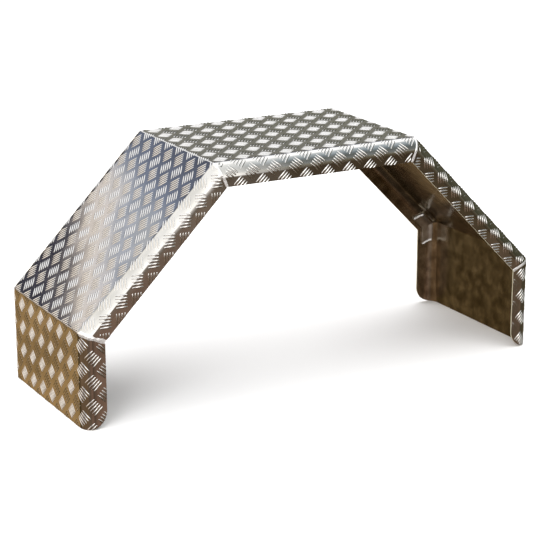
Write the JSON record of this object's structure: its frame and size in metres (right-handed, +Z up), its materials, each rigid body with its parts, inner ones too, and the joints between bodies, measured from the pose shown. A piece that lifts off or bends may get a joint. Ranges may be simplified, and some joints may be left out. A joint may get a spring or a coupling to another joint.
{
  "type": "trailer mudguard",
  "caption": "Folded tread-plate trailer mudguard with a flat top, sloped shoulders, upright legs and side flanges, welded at the mitres.",
  "frame": {"origin": "on the surface that the two feet stand on, midway between them and midway across the width", "axes": "+X along the mudguard, the way the wheel rolls; +Y across it, towards the flange with the doubler; +Z up"},
  "size_m": [0.8436, 0.302, 0.3959],
  "materials": {
    "tread_plate": "bright mill finish with a raised five-bar tread outside, smooth inside, mitre welds ground bright",
    "doubler_plate": "plain mill finish with two rough weld beads"
  },
  "bodies": {
    "root": {"mudguard_shell": "tread_plate", "joint_doubler": "doubler_plate"}
  },
  "joints": []
}
